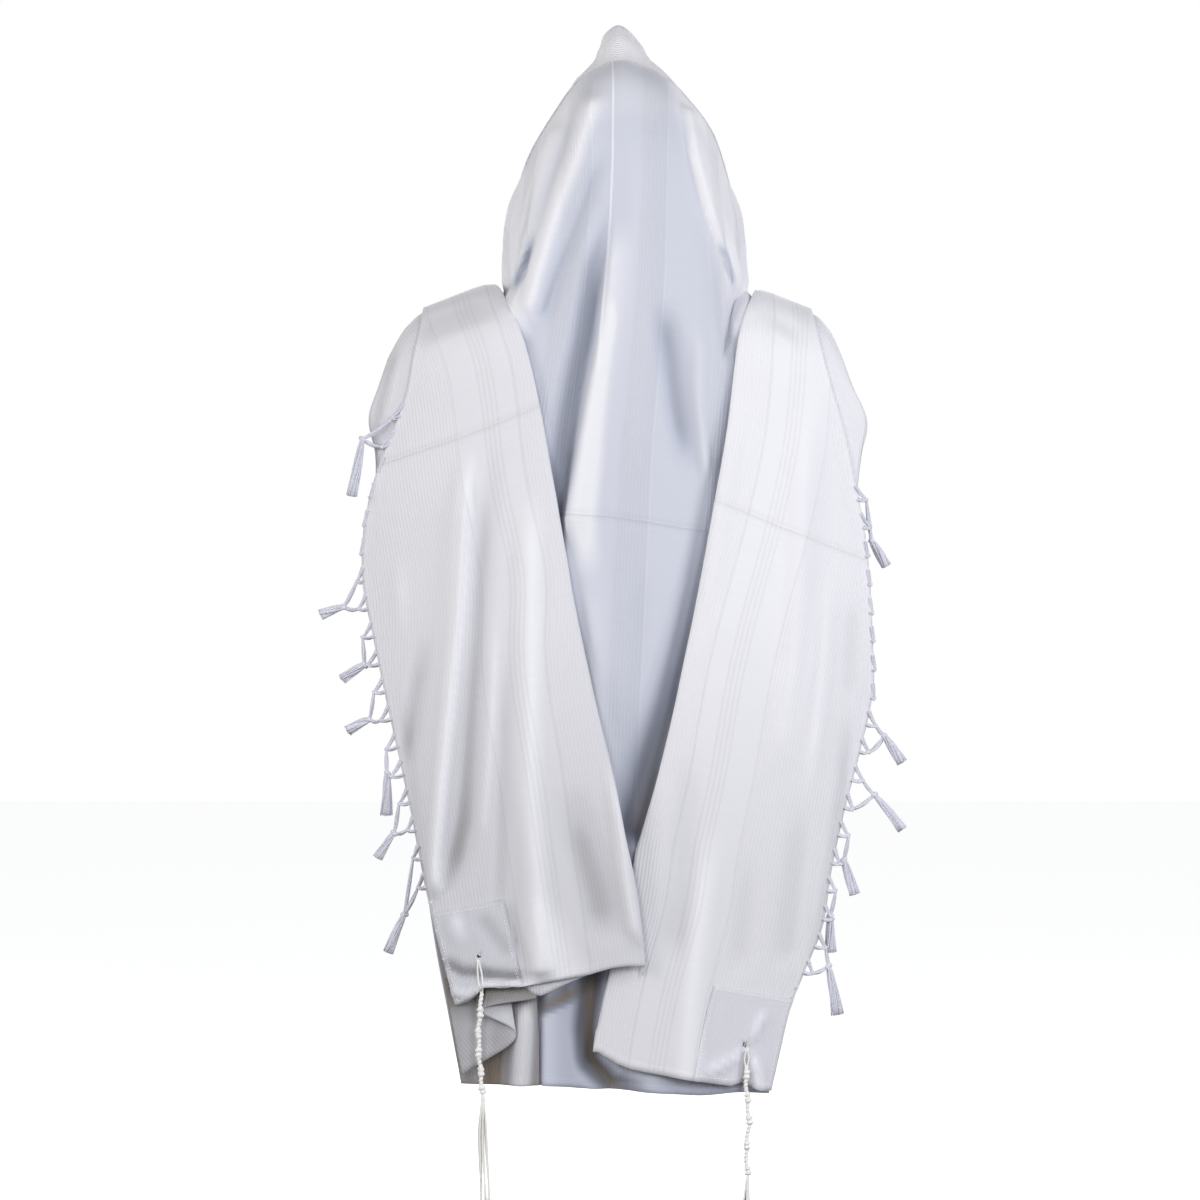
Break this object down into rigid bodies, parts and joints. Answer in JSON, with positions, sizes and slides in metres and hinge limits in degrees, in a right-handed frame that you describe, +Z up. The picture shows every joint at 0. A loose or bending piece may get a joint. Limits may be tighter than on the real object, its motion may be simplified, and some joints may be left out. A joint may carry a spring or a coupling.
{
  "type": "tallit prayer shawl",
  "caption": "Large white wool prayer shawl worn over the head as a hood, its gathered ends thrown back over both shoulders, with knotted fringes and corner tassels.",
  "frame": {"origin": "where the cloth rests on the crown of the head, at the crest under the standing neckband", "axes": "+Z up, +Y the way the wearer faces, so the back and the thrown ends are at -Y; +X is to the right seen from behind"},
  "size_m": [0.6577, 0.3119, 1.5916],
  "materials": {
    "white_wool": "matte ribbed wool with white on white stripes",
    "white_satin": "smooth satin weave with a soft sheen",
    "white_twine": "matte plied wool"
  },
  "bodies": {
    "root": {"hood": "white_wool", "back_panel": "white_wool", "flap_left": "white_wool", "flap_right": "white_wool", "under_left": "white_wool", "under_right": "white_wool", "back_pleat_left": "white_wool", "fringe_left": "white_wool", "fringe_right": "white_wool", "atarah": "white_satin", "patch_back_left": "white_satin", "patch_back_right": "white_satin", "patch_front_left": "white_satin", "patch_front_right": "white_satin", "tzitzit_back_left_cord": "white_twine", "tzitzit_back_left_strands": "white_twine", "tzitzit_back_right_cord": "white_twine", "tzitzit_back_right_strands": "white_twine", "tzitzit_front_left_cord": "white_twine", "tzitzit_front_left_strands": "white_twine", "tzitzit_front_right_cord": "white_twine", "tzitzit_front_right_strands": "white_twine"}
  },
  "joints": []
}
